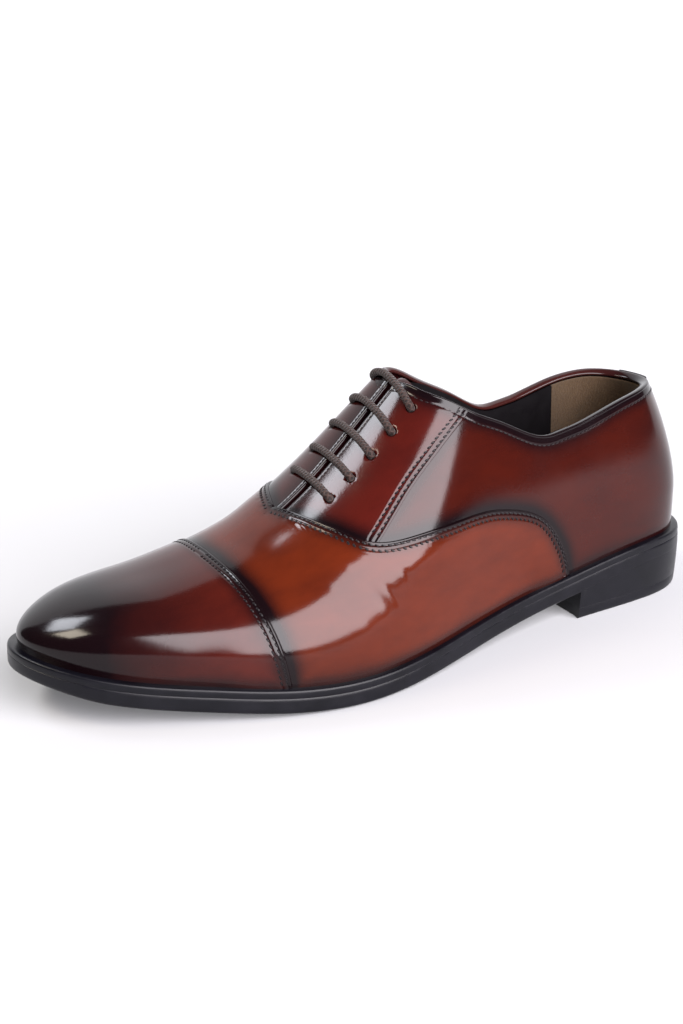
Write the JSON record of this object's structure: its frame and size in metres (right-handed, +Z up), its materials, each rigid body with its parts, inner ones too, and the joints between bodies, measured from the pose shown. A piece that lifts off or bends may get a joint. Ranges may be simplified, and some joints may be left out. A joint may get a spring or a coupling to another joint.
{
  "type": "leather oxford shoe",
  "caption": "Left lace-up dress shoe with a stitched toe cap, closed facings tied by straight bars of round lace, a thin welted sole and a low heel.",
  "frame": {"origin": "middle of the shoe's footprint, on the floor", "axes": "+Z up, -Y towards the toe, +X towards the outer side of a left shoe"},
  "size_m": [0.1092, 0.3098, 0.1109],
  "materials": {
    "leather_burgundy": "polished box calf, burnished nearly black towards the toe",
    "leather_russet": "polished box calf, russet brown burnished dark along the seams",
    "leather_wine": "polished box calf, wine red",
    "leather_oxblood": "polished box calf, dark oxblood",
    "leather_black": "thin black leather strip and folded edge, soft sheen",
    "lining_black": "matt black lining leather",
    "suede": "brown suede nap",
    "stiffener": "hidden fibre stiffener",
    "lace_cotton": "round waxed cotton braid, dark brown",
    "board": "insole board",
    "sole_black": "smooth black sole, satin edge",
    "top_rubber": "matt black rubber",
    "cork": "ground cork filler",
    "steel": "plain steel",
    "eyelet_metal": "blackened metal, hidden under the facing"
  },
  "bodies": {
    "shoe": {"vamp": "leather_russet", "facing_lateral": "leather_wine", "facing_medial": "leather_wine", "quarter_lateral": "leather_oxblood", "quarter_medial": "leather_oxblood", "quarter_lining_lateral": "lining_black", "quarter_lining_medial": "lining_black", "heel_tab": "leather_black", "heel_grip_lining": "suede", "heel_counter": "stiffener", "vamp_lining": "lining_black", "topline_binding": "leather_black", "lace": "lace_cotton", "sock_liner": "lining_black", "insole_board": "board", "welt_rear": "sole_black", "shank": "steel", "shank_filler": "board", "outsole_rear": "sole_black", "heel_wedge": "sole_black", "heel_lift": "sole_black", "top_piece": "top_rubber", "eyelet_lateral_1": "eyelet_metal", "eyelet_lateral_2": "eyelet_metal", "eyelet_lateral_3": "eyelet_metal", "eyelet_lateral_4": "eyelet_metal", "eyelet_lateral_5": "eyelet_metal", "eyelet_medial_1": "eyelet_metal", "eyelet_medial_2": "eyelet_metal", "eyelet_medial_3": "eyelet_metal", "eyelet_medial_4": "eyelet_metal", "eyelet_medial_5": "eyelet_metal", "heel_nail_1": "steel", "heel_nail_2": "steel", "heel_nail_3": "steel", "heel_nail_4": "steel", "heel_nail_5": "steel"},
    "forepart": {"outsole_fore": "sole_black", "welt_fore": "sole_black", "cork_filler": "cork", "toe_cap": "leather_burgundy", "toe_puff": "stiffener"},
    "tongue": {"tongue": "leather_wine", "tongue_lining": "lining_black"}
  },
  "joints": [
    {"name": "ball_flex", "type": "hinge", "parent": "shoe", "child": "forepart", "pos_m": [0, -0.0599, 0.0125], "axis": [-1, 0, 0], "range_deg": [0, 20], "stiffness_Nm_per_rad": 6, "deforming": ["vamp", "vamp_lining", "insole_board", "sock_liner"]},
    {"name": "tongue_hinge", "type": "hinge", "parent": "shoe", "child": "tongue", "pos_m": [-0.0048, -0.0534, 0.0545], "axis": [-1, 0, 0], "range_deg": [0, 9]}
  ]
}
